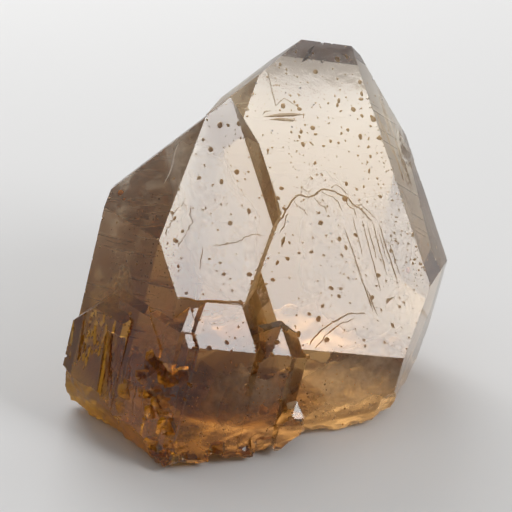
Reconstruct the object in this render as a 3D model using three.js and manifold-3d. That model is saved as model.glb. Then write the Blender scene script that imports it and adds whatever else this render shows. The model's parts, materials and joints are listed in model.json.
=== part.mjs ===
// A citrine crystal point: quartz crystals grown parallel to one another and joined in one piece.
// Millimetres, +Z up. The piece stands on its broken base. The origin is on the surface below it, in
// the middle of its bounding box seen from above.
import * as THREE from 'three';
import { ConvexGeometry } from 'three/addons/geometries/ConvexGeometry.js';
import { mergeVertices } from 'three/addons/utils/BufferGeometryUtils.js';
import Module from 'manifold-3d';

const wasm = await Module();
wasm.setup();

// Attitude of the crystal axis, shared by every crystal of the group (degrees): how far it leans
// from upright, the way it leans (from +X towards +Y) and the turn about itself.
const AXIS_LEAN = 14.3;
const LEAN_TOWARD = 21.4;
const AXIS_TWIST = -5.4;

// Quartz's own angles: how far a face's outward normal is tipped from the crystal axis (degrees).
const POINT_TILT = 51.8;
const SIDE_TILT = 90;
const UNDER_TILT = 180 - POINT_TILT;

// Height (mm) of the flat break above the common centre that the face distances start at.
const BASE_HEIGHT = 11;

// A face is its azimuth about the crystal axis, its distance (mm) from the common centre and its tilt.
// Azimuth 0 is the front, and the six faces of a point, or of the sides, are 60 degrees apart.
const point = (azimuth, distance, tilt = POINT_TILT) => ({ azimuth, tilt, distance });
const side = (azimuth, distance, tilt = SIDE_TILT) => ({ azimuth, tilt, distance });
const under = (azimuth, distance, tilt = UNDER_TILT) => ({ azimuth, tilt, distance });

// The main crystal and the left one carry the piece; the others are small ones grown on its foot.
const CRYSTALS = {
  main: [
    point(0, 50.6), point(60, 72.6), point(120, 103), point(180, 106.6), point(240, 97), point(300, 75.8),
    side(0, 30), side(58, 41.9), side(120, 55.2), side(180, 45), side(240, 45), side(300, 25),
    under(120, 20), under(0, 60),
  ],
  left: [
    point(0, 59.8), point(60, 40.8), point(120, 64), point(180, 85.5), point(240, 98.1), point(300, 92.4),
    side(0, 30.5), side(60, -10.4), side(120, 20), side(180, 12), side(240, 64), side(300, 60.5),
    under(0, 60),
  ],
  frontLeft: [
    point(0, 59.6), point(60, 26.9), point(300, 76.6),
    side(0, 39.9), side(60, -2), side(120, 20), side(180, 0), side(240, 45), side(300, 58.6),
    under(0, 60),
  ],
  frontSliver: [
    point(0, 58.2), point(60, 20), point(300, 77.4),
    side(0, 38.9), side(60, -10), side(120, 20), side(180, 0), side(240, 45), side(300, 60.8),
    under(0, 60),
  ],
  frontRight: [
    point(0, 59.6), point(60, 34.9), point(180, 8.5), point(300, 57.4),
    side(0, 39.9), side(46, 18.6), side(120, 20), side(180, 0), side(240, 30), side(300, 40),
    under(0, 60),
  ],
  frontFoot: [
    point(0, 46.7), point(90, 9.1, 60), point(180, -11.5), point(300, 36.1),
    side(0, 40.8), side(60, 17.7), side(120, 20), side(180, 0), side(240, 30), side(300, 30),
    under(0, 60),
  ],
  lowLeft: [
    point(0, 60), point(60, 0), point(300, 78.6),
    side(0, 31.2), side(60, -20), side(120, 0), side(180, 0), side(240, 50), side(300, 62.5),
    under(0, 60),
  ],
  farLeft: [
    point(0, 43.4), point(60, -8), point(240, 71), point(300, 76.7),
    side(0, 18.9), side(60, -44), side(120, 0), side(180, 0), side(240, 64.6), side(300, 65),
    under(0, 60),
  ],
};

// Edge of the block that a break is cut with.
const BLOCK = 400;

// Broken faces, upright: the flat break that it stands on, and the slanting one at its left foot.
const BREAKS = [
  { azimuth: 0, tilt: 180, distance: -BASE_HEIGHT },
  { azimuth: 309, tilt: 113, distance: 46 },
];

// Shell-shaped chips along the rim of the base: the spot on the rim (x, y), the way it faces there
// (degrees from +X), the radius of the ball that fits the hollow, and how deep the ball bites.
const CHIPS = [
  [-22, -47.5, -85, 30, 2.6],
  [-10, -44, -70, 22, 1.6],
  [3, -40.5, -75, 26, 2.2],
  [14, -34, -50, 16, 2],
  [20, -25.5, -80, 24, 1.8],
  [31, -22, -70, 20, 1.5],
  [41, -18, -45, 18, 3.2],
  [46, -3, -20, 30, 2.4],
  [8, 49.5, 100, 34, 3],
  [-22, 41, 110, 28, 2.2],
  [-38, 26, 170, 30, 2.5],
];
// A chip's ball lies outward and below the rim, this far below the horizontal (degrees).
const CHIP_DROP = 35;
// How many times each edge of the ball's icosahedron is split: flats of 2 to 4 mm on a chip.
const CHIP_DETAIL = 9;

// Planes whose normals span less volume than this have no single point in common.
const PARALLEL_LIMIT = 1e-6;
// Slack (mm) when a corner is tested against a plane, or when nearly equal vertices are merged.
const PLANE_SLACK = 1e-4;
// Corners closer together than this (mm) are one corner.
const SAME_CORNER = 1e-3;

function outwardNormal({ azimuth, tilt }) {
  const turn = THREE.MathUtils.degToRad(azimuth);
  const tip = THREE.MathUtils.degToRad(tilt);
  return new THREE.Vector3(Math.sin(turn) * Math.sin(tip), -Math.cos(turn) * Math.sin(tip), Math.cos(tip));
}

// The point that three planes share, or null when two of them are parallel.
function sharedPoint(a, b, c) {
  const across = new THREE.Vector3().crossVectors(b.normal, c.normal);
  const volume = a.normal.dot(across);
  if (Math.abs(volume) < PARALLEL_LIMIT) return null;
  return across.multiplyScalar(a.distance)
    .addScaledVector(new THREE.Vector3().crossVectors(c.normal, a.normal), b.distance)
    .addScaledVector(new THREE.Vector3().crossVectors(a.normal, b.normal), c.distance)
    .divideScalar(volume);
}

function crystalGeometry(faces) {
  const planes = faces.map((face) => ({ normal: outwardNormal(face), distance: face.distance }));
  const corners = [];
  for (let i = 0; i < planes.length; i += 1) {
    for (let j = i + 1; j < planes.length; j += 1) {
      for (let k = j + 1; k < planes.length; k += 1) {
        const corner = sharedPoint(planes[i], planes[j], planes[k]);
        if (corner === null) continue;
        const outside = ({ normal, distance }) => normal.dot(corner) > distance + PLANE_SLACK;
        if (planes.some(outside)) continue;
        if (corners.some((other) => other.distanceTo(corner) < SAME_CORNER)) continue;
        corners.push(corner);
      }
    }
  }
  return new ConvexGeometry(corners);
}

function solidFrom(geometry) {
  const bare = geometry.clone();
  bare.deleteAttribute('normal');
  bare.deleteAttribute('uv');
  const merged = mergeVertices(bare, PLANE_SLACK);
  return new wasm.Manifold(new wasm.Mesh({
    numProp: 3,
    vertProperties: new Float32Array(merged.attributes.position.array),
    triVerts: new Uint32Array(merged.index.array),
  }));
}

function geometryFrom(solid) {
  const mesh = solid.getMesh();
  const geometry = new THREE.BufferGeometry();
  geometry.setAttribute('position', new THREE.BufferAttribute(new Float32Array(mesh.vertProperties), 3));
  geometry.setIndex(new THREE.BufferAttribute(new Uint32Array(mesh.triVerts), 1));
  return geometry;
}

// Everything on the far side of a plane, as a block that is large beside the crystal.
function beyond(plane) {
  const normal = outwardNormal(plane);
  const turn = new THREE.Quaternion().setFromUnitVectors(new THREE.Vector3(0, 0, 1), normal);
  return new THREE.BoxGeometry(BLOCK, BLOCK, BLOCK)
    .translate(0, 0, plane.distance + BLOCK / 2)
    .applyQuaternion(turn);
}

const attitude = new THREE.Matrix4()
  .makeRotationZ(THREE.MathUtils.degToRad(LEAN_TOWARD))
  .multiply(new THREE.Matrix4().makeRotationY(THREE.MathUtils.degToRad(AXIS_LEAN)))
  .multiply(new THREE.Matrix4().makeRotationZ(THREE.MathUtils.degToRad(AXIS_TWIST)));

let group = null;
for (const faces of Object.values(CRYSTALS)) {
  const crystal = solidFrom(crystalGeometry(faces).applyMatrix4(attitude));
  group = group === null ? crystal : group.add(crystal);
}

for (const broken of BREAKS) group = group.subtract(solidFrom(beyond(broken)));
for (const [x, y, facing, radius, bite] of CHIPS) {
  const away = new THREE.Vector3(radius - bite, 0, 0)
    .applyAxisAngle(new THREE.Vector3(0, 1, 0), THREE.MathUtils.degToRad(CHIP_DROP))
    .applyAxisAngle(new THREE.Vector3(0, 0, 1), THREE.MathUtils.degToRad(facing));
  const ball = new THREE.IcosahedronGeometry(radius, CHIP_DETAIL)
    .translate(x + away.x, y + away.y, BASE_HEIGHT + away.z);
  group = group.subtract(solidFrom(ball));
}

const geometry = geometryFrom(group);
geometry.computeBoundingBox();
const middle = geometry.boundingBox.getCenter(new THREE.Vector3());
geometry.translate(-middle.x, -middle.y, -geometry.boundingBox.min.z);

const citrine = new THREE.MeshStandardMaterial({ color: 0xb07c3e, roughness: 0.08, metalness: 0 });
const mesh = new THREE.Mesh(geometry, citrine);
mesh.name = 'citrine_crystal';

const part = new THREE.Group();
part.add(mesh);

export default part;
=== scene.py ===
# %% [markdown]
# # A smoky citrine crystal point
#
# The piece is a cluster of quartz crystals that grew parallel to one another and joined. It stands
# on the rough break where it came off the rock. This lesson takes the plain solid from the frame and
# turns it into the real thing: sharp but chipped edges, pitted faces, a rough break, a body that
# drinks light as it gets thicker, and the veils and flecks sealed inside.

# %% Load the frame
import json
import math
import random

import bmesh
import bpy
import numpy as np
from mathutils import Matrix, Vector, noise

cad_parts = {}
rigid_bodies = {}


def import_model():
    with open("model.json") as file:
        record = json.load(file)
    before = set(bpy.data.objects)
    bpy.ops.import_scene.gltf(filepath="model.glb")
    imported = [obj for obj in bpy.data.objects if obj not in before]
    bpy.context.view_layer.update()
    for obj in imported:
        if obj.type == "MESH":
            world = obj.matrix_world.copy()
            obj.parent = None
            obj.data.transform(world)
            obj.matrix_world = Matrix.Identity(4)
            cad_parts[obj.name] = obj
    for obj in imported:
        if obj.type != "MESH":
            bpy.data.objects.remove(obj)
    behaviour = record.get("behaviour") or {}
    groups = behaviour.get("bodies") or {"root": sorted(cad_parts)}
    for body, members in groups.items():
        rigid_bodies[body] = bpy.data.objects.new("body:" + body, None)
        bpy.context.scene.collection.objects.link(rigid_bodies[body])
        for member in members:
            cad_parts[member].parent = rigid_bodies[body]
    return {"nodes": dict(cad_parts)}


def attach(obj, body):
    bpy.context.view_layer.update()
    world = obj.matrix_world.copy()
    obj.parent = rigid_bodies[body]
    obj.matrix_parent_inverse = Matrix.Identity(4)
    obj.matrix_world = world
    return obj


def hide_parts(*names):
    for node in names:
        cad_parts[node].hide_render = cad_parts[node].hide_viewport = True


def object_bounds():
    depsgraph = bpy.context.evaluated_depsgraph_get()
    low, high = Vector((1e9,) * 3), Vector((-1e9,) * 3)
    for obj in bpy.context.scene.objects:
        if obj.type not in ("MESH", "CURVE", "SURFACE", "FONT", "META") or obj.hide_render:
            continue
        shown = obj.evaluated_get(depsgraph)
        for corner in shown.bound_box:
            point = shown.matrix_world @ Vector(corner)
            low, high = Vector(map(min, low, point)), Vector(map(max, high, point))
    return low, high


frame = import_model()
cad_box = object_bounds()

MM = 0.001
LOW, HIGH = cad_box
MIDDLE = (LOW + HIGH) / 2
collection = bpy.context.scene.collection
# Blender seeds its vector noise from the clock; a fixed seed makes every run the same.
noise.seed_set(5)
print("CAD box, mm:", [round((h - l) / MM, 1) for l, h in zip(LOW, HIGH)])

# %% [markdown]
# ## The directions of the faces
#
# Every quartz crystal has the same angles between its faces, and the crystals of this cluster all
# point the same way. So one turned set of six prism faces and six tip faces describes them all: the
# widest face of the solid along one of those directions gives a place to work from, with its own
# right, up and outward axes.

# %% Crystal directions and face planes
AXIS_TURN = (
    Matrix.Rotation(math.radians(21.4), 3, "Z")
    @ Matrix.Rotation(math.radians(14.3), 3, "Y")
    @ Matrix.Rotation(math.radians(-5.4), 3, "Z")
)
TIP_TILT = 51.8
SIDE_TILT = 90.0
BREAK_WAY = Vector((-0.715, -0.579, -0.391)).normalized()


def face_way(azimuth, tilt):
    """Outward direction of a crystal face: degrees round the crystal's axis and down from its point."""
    around, down = math.radians(azimuth), math.radians(tilt)
    out = Vector((math.sin(around) * math.sin(down), -math.cos(around) * math.sin(down), math.cos(down)))
    return AXIS_TURN @ out


GROWTH_WAYS = [face_way(60 * i, tilt) for i in range(6) for tilt in (TIP_TILT, SIDE_TILT)]


class FacePlane:
    """A flat face with a centre and its right, up and outward directions, measured in millimetres."""

    def __init__(self, centre, out):
        self.centre = centre
        self.out = out.normalized()
        self.right = Vector((0, 0, 1)).cross(self.out).normalized()
        self.up = self.out.cross(self.right)

    def at(self, right, up, out=0.0):
        return self.centre + (self.right * right + self.up * up + self.out * out) * MM


def outline_centre(mesh, face):
    """The middle of a face, each corner weighted by the edges beside it, so short edges count little."""
    corners = [mesh.vertices[i].co for i in face.vertices]
    total, weights = Vector(), 0.0
    for before, here, after in zip(corners[-1:] + corners[:-1], corners, corners[1:] + corners[:1]):
        weight = (here - before).length + (after - here).length
        total += here * weight
        weights += weight
    return total / weights


def face_plane(mesh, way, rank=0):
    """The plane of the widest face of a mesh that looks along a direction, or the next widest."""
    faces = [p for p in mesh.polygons if p.normal.dot(way) > math.cos(math.radians(1.5))]
    face = sorted(faces, key=lambda p: -p.area)[rank]
    return FacePlane(outline_centre(mesh, face), face.normal.copy())


# %% [markdown]
# ## The camera
#
# The camera looks at the piece from the front and a little above, as one would hold it up to look
# at it. It is the view that the rest of the lesson is judged in, so it comes before any shaping.


# %% Camera
VIEW_ELEVATION = math.radians(28)
VIEW_DISTANCE = 0.9
FIELD_WIDTH = 0.169
aim = MIDDLE + Vector((-0.8, -10.0, -0.4)) * MM
sight = Vector((0, -math.cos(VIEW_ELEVATION), math.sin(VIEW_ELEVATION)))

camera = bpy.data.objects.new("camera", bpy.data.cameras.new("camera"))
camera.data.lens = camera.data.sensor_width * VIEW_DISTANCE / FIELD_WIDTH
camera.data.clip_start = 0.05
camera.data.clip_end = 20
camera.location = aim + sight * VIEW_DISTANCE
camera.rotation_euler = (-sight).to_track_quat("-Z", "Y").to_euler()
collection.objects.link(camera)
bpy.context.scene.camera = camera
print("lens, mm:", round(camera.data.lens, 1))

# %% [markdown]
# ## The plain crystal
#
# The frame's mesh is a copy of the solid as loose triangles. Merged and with its flat fields joined
# again, it is a clean closed body whose faces are single polygons, which cut cleanly.


# %% The clean body
def new_object(name, mesh):
    thing = bpy.data.objects.new(name, mesh)
    collection.objects.link(thing)
    return thing


def clean_copy(node, name):
    """A linked copy of a CAD node with its doubles merged and its flat fields made single faces."""
    mesh = node.data.copy()
    shape = bmesh.new()
    shape.from_mesh(mesh)
    bmesh.ops.remove_doubles(shape, verts=shape.verts, dist=0.01 * MM)
    bmesh.ops.dissolve_limit(
        shape, angle_limit=math.radians(0.2), verts=shape.verts, edges=shape.edges
    )
    shape.to_mesh(mesh)
    shape.free()
    mesh.materials.clear()
    stored_normals = mesh.attributes.get("custom_normal")
    if stored_normals:
        mesh.attributes.remove(stored_normals)
    return new_object(name, mesh)


body = clean_copy(frame["nodes"]["citrine_crystal"], "crystal_body")
plain_body = clean_copy(frame["nodes"]["citrine_crystal"], "plain_body")
FRONT = face_plane(body.data, face_way(0, TIP_TILT))
LEFT_FRONT = face_plane(body.data, face_way(0, TIP_TILT), rank=1)
SMALL_FRONT = face_plane(body.data, face_way(0, TIP_TILT), rank=2)
LEFT_TIP = face_plane(body.data, face_way(300, TIP_TILT))
RIGHT_TIP = face_plane(body.data, face_way(60, TIP_TILT))
AXIS = face_way(0, 0)
print("clean body:", len(body.data.polygons), "faces")
for name, plane in (("front", FRONT), ("left front", LEFT_FRONT), ("small front", SMALL_FRONT)):
    print("  middle of the", name, "face, mm:", [round(c / MM, 1) for c in plane.centre])

# %% [markdown]
# ## Cutting tools
#
# A crystal's damage is all taken away from it: chips, pits, grooves and breaks. So every mark is a
# cutter, a closed shape that a boolean takes out of the body. A boolean keeps the big faces perfectly
# flat right up to the mark, where pushing points about would bend the mirror they make.


# %% The skins that the tools leave
# skin: (dullness, stain), both from 0 to 1
SKINS = {
    "skin_growth": (0.0, 0.0),
    "skin_break": (1.0, 0.15),
    "skin_chip": (0.35, 0.0),
    "skin_step": (0.1, 0.05),
    "skin_line": (0.6, 0.35),
    "skin_rib": (1.0, 0.0),
    "skin_pit": (0.9, 0.85),
    "skin_nick": (0.5, 0.1),
}
skins = {name: bpy.data.materials.new(name) for name in SKINS}


# %% [markdown]
# ## Cutting one shape out of another
#
# A boolean keeps what is outside the tool, and the faces it leaves take the tool's material. That is
# how each kind of mark brings its own skin along. The volume taken away is printed each time. A cut
# that changes the body by more than a tenth has failed: it is refused, and the body stays as it was.


# %% Boolean cuts
def evaluated_mesh(thing):
    depsgraph = bpy.context.evaluated_depsgraph_get()
    return bpy.data.meshes.new_from_object(thing.evaluated_get(depsgraph))


def volume_of(mesh):
    shape = bmesh.new()
    shape.from_mesh(mesh)
    amount = shape.calc_volume()
    shape.free()
    return amount


def cut(target, tool_mesh, label, skin, operation="DIFFERENCE"):
    """Take a closed tool out of the target's mesh, or join it on, leaving its skin there."""
    tool = new_object(label, tool_mesh)
    if not tool_mesh.materials:
        tool_mesh.materials.append(skins[skin])
    modifier = target.modifiers.new(label, "BOOLEAN")
    modifier.object = tool
    modifier.operation = operation
    modifier.solver = "MANIFOLD"
    modifier.material_mode = "TRANSFER"
    before = volume_of(target.data)
    mesh = evaluated_mesh(target)
    after = volume_of(mesh)
    target.modifiers.clear()
    bpy.data.objects.remove(tool)
    if not 0.9 * before < after < 1.1 * before:
        print("  ", label, "was refused:", round(before * 1e6, 2), "to", round(after * 1e6, 2))
        return
    target.data = mesh
    print(f"  {label}: {(after - before) * 1e9:+.0f} cubic mm, {len(mesh.polygons)} faces")


def mesh_from(name, points, faces):
    mesh = bpy.data.meshes.new(name)
    mesh.from_pydata([tuple(p) for p in points], [], faces)
    mesh.update()
    return mesh


# %% [markdown]
# ## Small crystals of the same growth
#
# Low on the front the big crystals share their faces, and little crystals stand between them. Each
# is the space inside a few planes of the one set of directions, all measured from one centre, so a
# big block is sliced by each plane in turn and joined to the body. One plane is an exception: the
# filler's front leans steeper than quartz grows, so that it stays dark under the light.


# %% Small crystals
GROWTH_CENTRE = Vector((1.21, -6.04, -11.0)) * MM


def small_crystal(name, planes):
    """The block left inside planes (azimuth, tilt, distance in mm from the growth centre)."""
    shape = bmesh.new()
    bmesh.ops.create_cube(shape, size=0.3)
    for azimuth, tilt, distance in planes:
        out = face_way(azimuth, tilt)
        cuts = bmesh.ops.bisect_plane(
            shape,
            geom=shape.verts[:] + shape.edges[:] + shape.faces[:],
            plane_co=GROWTH_CENTRE + out * distance * MM,
            plane_no=out,
            clear_outer=True,
        )
        edges = [e for e in cuts["geom_cut"] if isinstance(e, bmesh.types.BMEdge)]
        bmesh.ops.contextual_create(shape, geom=edges)
    foot = bmesh.ops.bisect_plane(
        shape,
        geom=shape.verts[:] + shape.edges[:] + shape.faces[:],
        plane_co=(0, 0, 0.3 * MM),
        plane_no=(0, 0, -1),
        clear_outer=True,
    )
    edges = [e for e in foot["geom_cut"] if isinstance(e, bmesh.types.BMEdge)]
    bmesh.ops.contextual_create(shape, geom=edges)
    bmesh.ops.recalc_face_normals(shape, faces=shape.faces)
    mesh = bpy.data.meshes.new(name)
    shape.to_mesh(mesh)
    shape.free()
    return mesh


SMALL_CRYSTALS = {
    "notch_filler": [
        (0, 66, 48.3), (60, TIP_TILT, 28), (300, TIP_TILT, 60), (180, TIP_TILT, 6),
        (0, SIDE_TILT, 39.7), (60, SIDE_TILT, 9), (180, SIDE_TILT, -20), (300, SIDE_TILT, 44),
        (240, SIDE_TILT, 12), (120, SIDE_TILT, 4),
    ],
    "left_shoulder": [
        (0, TIP_TILT, 58.6), (60, TIP_TILT, 14), (300, TIP_TILT, 78.8), (180, TIP_TILT, 12),
        (0, SIDE_TILT, 36.0), (60, SIDE_TILT, -14), (180, SIDE_TILT, 0), (300, SIDE_TILT, 62.0),
        (240, SIDE_TILT, 40), (120, SIDE_TILT, 0),
    ],
}
for name, planes in SMALL_CRYSTALS.items():
    cut(body, small_crystal(name, planes), name, "skin_growth", "UNION")

# %% [markdown]
# ## Breaks like the inside of a shell
#
# Quartz has no weak plane, so it breaks like thick glass: in shallow dishes with rings round the
# point where each break began, and sharp ridges where two dishes meet. A height field of overlapping
# dishes gives that shape. Turned to face any way, it cuts the base, the slanting break and the chips.


# %% Shell break cutters
def dish_depth(right, up, dishes, ring_height=0.05, ring_gap=1.7, floor=0.05):
    """Depth in mm below a plane, from dishes (right, up, radius, depth) that overlap."""
    depth = np.full(right.shape, -6.0)
    for centre_right, centre_up, radius, deepest in dishes:
        away = np.hypot(right - centre_right, up - centre_up)
        rings = ring_height * np.cos(2 * math.pi * away / ring_gap) * np.clip(away / radius, 0, 1)
        depth = np.maximum(depth, deepest * (1 - (away / radius) ** 2) + rings)
    return depth if floor is None else np.maximum(depth, floor)


def ripple(right, up, height, size, seed):
    """A smooth unevenness, made of turned waves, that takes the machined look off a surface."""
    draw = random.Random(seed)
    total = np.zeros(right.shape)
    for octave in range(5):
        turn = draw.uniform(0, math.pi)
        wave = size / 1.7**octave
        along = right * math.cos(turn) + up * math.sin(turn)
        across = up * math.cos(turn) - right * math.sin(turn)
        bend = 2.2 * np.sin(2 * math.pi * across / (wave * 1.9))
        total += np.sin(2 * math.pi * along / wave + bend) / 1.5**octave
    return total * height / 2


def relief_cutter(name, plane, width, height, step, depth_of, outside=9.0):
    """A closed slab over a plane, whose inner side is the height field depth_of(right, up)."""
    columns, rows = int(width / step) + 1, int(height / step) + 1
    right, up = np.meshgrid(
        np.linspace(-width / 2, width / 2, columns), np.linspace(-height / 2, height / 2, rows)
    )
    depth = depth_of(right, up)
    points = [
        plane.at(float(r), float(u), -float(d)) for r, u, d in zip(right.flat, up.flat, depth.flat)
    ]
    faces = []
    for row in range(rows - 1):
        for column in range(columns - 1):
            a = row * columns + column
            faces.append((a, a + columns, a + columns + 1, a + 1))
    rim = list(range(columns))
    rim += [row * columns + columns - 1 for row in range(1, rows)]
    rim += [(rows - 1) * columns + column for column in range(columns - 2, -1, -1)]
    rim += [row * columns for row in range(rows - 2, 0, -1)]
    base = len(points)
    for index in rim:
        points.append(plane.at(float(right.flat[index]), float(up.flat[index]), outside))
    count = len(rim)
    for i in range(count):
        j = (i + 1) % count
        faces.append((rim[i], rim[j], base + j, base + i))
    faces.append(tuple(base + i for i in range(count)))
    return mesh_from(name, points, faces)


# %% [markdown]
# ## Where the cluster came off the rock
#
# The whole foot is one rough break, and a second one slants up from it. Big dishes make the broad
# shape of each, a row of smaller dishes bites its rim, and a fine ripple roughens what is left.


# %% The break at the foot and the slanting break
def rim_dishes(mesh, plane, seed, spacing, radius, depth):
    """Dishes strung along the outline of the widest face that lies in a plane."""
    draw = random.Random(seed)
    face = max(
        (p for p in mesh.polygons if p.normal.dot(plane.out) > 0.999), key=lambda p: p.area
    )
    corners = [mesh.vertices[i].co - plane.centre for i in face.vertices]
    spots = [(c.dot(plane.right) / MM, c.dot(plane.up) / MM) for c in corners]
    dishes = []
    left_over = 0.0
    for (r0, u0), (r1, u1) in zip(spots, spots[1:] + spots[:1]):
        length = math.hypot(r1 - r0, u1 - u0)
        while left_over < length:
            t = left_over / length
            size = draw.uniform(*radius)
            dishes.append((r0 + (r1 - r0) * t, u0 + (u1 - u0) * t, size, draw.uniform(*depth)))
            left_over += draw.uniform(*spacing)
        left_over -= length
    return dishes


def field_dishes(seed, count, width, height, radius, depth):
    """Dishes strewn over a rectangle, as (right, up, radius, depth) in mm."""
    draw = random.Random(seed)
    return [
        (
            draw.uniform(-width / 2, width / 2),
            draw.uniform(-height / 2, height / 2),
            draw.uniform(*radius),
            draw.uniform(*depth),
        )
        for _ in range(count)
    ]


foot = FacePlane(Vector((MIDDLE.x, MIDDLE.y, 0)), Vector((0, 0.0001, -1)))
foot_dishes = rim_dishes(body.data, foot, 3, (3.0, 7.0), (3.5, 8.0), (1.2, 3.6))
foot_dishes += field_dishes(5, 60, 124, 106, (8, 20), (0.5, 1.8))


def foot_depth(right, up):
    """How deep the foot's break is at a place, in mm, and never less than a hair."""
    depth = dish_depth(right, up, foot_dishes, ring_height=0.03, ring_gap=2.4)
    return np.maximum(depth + ripple(right, up, 0.22, 12.0, 11) * np.clip(depth, 0, 1), 0.05)


cut(body, relief_cutter("foot_break", foot, 134, 116, 0.9, foot_depth), "foot_break", "skin_break")

slant = face_plane(body.data, BREAK_WAY)
slant_dishes = rim_dishes(body.data, slant, 8, (3.0, 6.0), (3.0, 7.0), (0.6, 2.0))
slant_dishes += field_dishes(9, 24, 60, 30, (5, 12), (0.5, 2.2))


def slant_depth(right, up):
    depth = dish_depth(right, up, slant_dishes, ring_height=0.05, ring_gap=1.5)
    return np.maximum(depth + ripple(right, up, 0.3, 6.0, 12), 0.05)


cut(body, relief_cutter("slant_break", slant, 84, 44, 0.6, slant_depth), "slant_break", "skin_break")


# %% [markdown]
# ## Chips and flakes
#
# A knock takes a shell-shaped flake off an edge. Each chip is a small patch of three dishes turned
# to face outwards, and the crushed corner low on the left is a crowd of little ones, which is what
# makes it sparkle.


# %% Single chips
def chip(name, spot, out, radius, bite, rings=0.05, gap=1.2, roughness=0.1, seed=1, outside=6.0):
    """Cut one shell-shaped chip at a spot given in mm, facing the way the flake flew off."""
    plane = FacePlane(Vector(spot) * MM, Vector(out))
    size = radius * 2.6
    step = max(0.35, radius / 22)

    dishes = [
        (0, 0, radius, bite),
        (0.55 * radius, 0.35 * radius, 0.6 * radius, 0.75 * bite),
        (-0.5 * radius, 0.45 * radius, 0.5 * radius, 0.8 * bite),
    ]

    def depth_of(right, up):
        shell = dish_depth(right, up, dishes, rings, gap, floor=None)
        return np.maximum(shell + ripple(right, up, roughness, radius * 0.7, seed), 0.5 - outside)

    cut(body, relief_cutter(name, plane, size, size, step, depth_of, outside), name, "skin_chip")


# name, spot, way it flew off, radius, bite, ring height, ring gap, unevenness
CHIPS = [
    ("right_lump", (57, 38, 76), (0.95, 0.1, 0.2), 5, 1.4, 0.03, 1.3, 0.12),
    ("right_foot_chip", (44, -20, 6), (0.6, -0.65, -0.45), 8, 1.8, 0.06, 1.4, 0.3),
]
for index, (name, spot, out, radius, bite, rings, gap, rough) in enumerate(CHIPS):
    near = body.closest_point_on_mesh(Vector(spot) * MM)[1]
    chip(name, near / MM, out, radius, bite, rings, gap, rough, seed=20 + index)

# name, middle of the cluster, spread, count, smallest, largest
FLAKE_CLUSTERS = [
    ("left_flake", (-34, -47, 27), 7.5, 18, 1.4, 3.4),
    ("low_flake", (-38, -48, 12), 10.0, 16, 1.0, 2.8),
    ("left_rim_flake", (-30, -52, 4), 9.0, 10, 1.0, 2.4),
    ("rim_flake", (-8, -50, 3), 10.0, 10, 1.0, 2.4),
]
flake_draw = random.Random(33)
for cluster, middle, spread, count, smallest, largest in FLAKE_CLUSTERS:
    for index in range(count):
        spot = Vector(middle) + Vector([flake_draw.uniform(-1, 1) for _ in range(3)]) * spread
        near, normal = body.closest_point_on_mesh(spot * MM)[1:3]
        out = normal * 0.5 + face_way(0, TIP_TILT) * 0.6
        out += Vector([flake_draw.uniform(-0.4, 0.4) for _ in range(3)])
        size = flake_draw.uniform(smallest, largest)
        name = f"{cluster}_{index}"
        chip(name, near / MM, out.normalized(), size, size * 0.26, 0.04, 0.7, 0.12, 34 + index, 4.0)

# %% [markdown]
# ## Stepped faces low on the left
#
# The low left side stopped growing in steps, and then broke: long narrow treads run along the
# crystal's axis, with glinting risers between them. A height field rounded to whole steps, and
# stretched along the axis, cuts them.


# %% Stepped faces
def tread_depth(plane, seed, rise, across_size, reach_right, reach_up, wander=0.03):
    """A depth field of steps that run along the crystal's axis and fade out at their reach."""
    axis_right, axis_up = AXIS.dot(plane.right), AXIS.dot(plane.up)

    def depth_of(right, up):
        along = right * axis_right + up * axis_up
        across = right * axis_up - up * axis_right
        level = ripple(across + 0.12 * along, along * 0.16, 1.6, across_size, seed)
        level = level + 1.2 - 1.6 * ((right / reach_right) ** 2 + (up / reach_up) ** 2)
        whole = np.floor(level)
        part = np.clip((level - whole) * 6, 0, 1)
        return (whole - 1 + part) * rise + ripple(right, up, wander, 3.1, seed + 1) - 0.05

    return depth_of


low_left = face_plane(body.data, face_way(300, SIDE_TILT), rank=2)
far_left = face_plane(body.data, face_way(300, SIDE_TILT), rank=3)
for name, plane, seed, rise, size, reach in (
    ("low_left_steps", low_left, 41, 0.75, 9.0, (13, 17)),
    ("far_left_steps", far_left, 42, 0.22, 9.0, (9, 12)),
):
    field = tread_depth(plane, seed, rise, size, *reach)
    cut(body, relief_cutter(name, plane, reach[0] * 2.6, reach[1] * 2.6, 0.4, field), name, "skin_step")

# %% [markdown]
# ## Lines and steps on the big faces
#
# The front face grew in two sheets that met along a crumpled line, and fine straight growth lines
# run down from it. Each is a narrow V-shaped groove: it only has to turn the surface for a fraction
# of a millimetre, and the bright mirror of the face is broken by a thin brown line.


# %% Grooves
def groove(name, plane, route, width, depth, skin="skin_line"):
    """Cut a V-shaped groove along a route of (right, up) points in mm, fading out at both ends."""
    points, faces = [], []
    spots = [Vector(spot) for spot in route]
    last = len(spots) - 1
    for index, spot in enumerate(spots):
        way = (spots[min(index + 1, last)] - spots[max(index - 1, 0)]).normalized()
        side = Vector((-way.y, way.x))
        size = 0.12 if index in (0, last) else 1.0
        half = width / 2 * size * 1.5
        for offset, out in ((-half, 0.5 * depth * size), (half, 0.5 * depth * size), (0, -depth * size)):
            points.append(plane.at(spot.x + side.x * offset, spot.y + side.y * offset, out))
        if index:
            a, b = 3 * (index - 1), 3 * index
            for i, j in ((0, 1), (1, 2), (2, 0)):
                faces.append((a + i, b + i, b + j, a + j))
    faces.append((0, 1, 2))
    faces.append((3 * last, 3 * last + 2, 3 * last + 1))
    mesh = mesh_from(name, points, faces)
    shape = bmesh.new()
    shape.from_mesh(mesh)
    bmesh.ops.recalc_face_normals(shape, faces=shape.faces)
    bmesh.ops.triangulate(shape, faces=shape.faces)
    shape.to_mesh(mesh)
    shape.free()
    cut(body, mesh, name, skin)


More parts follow.
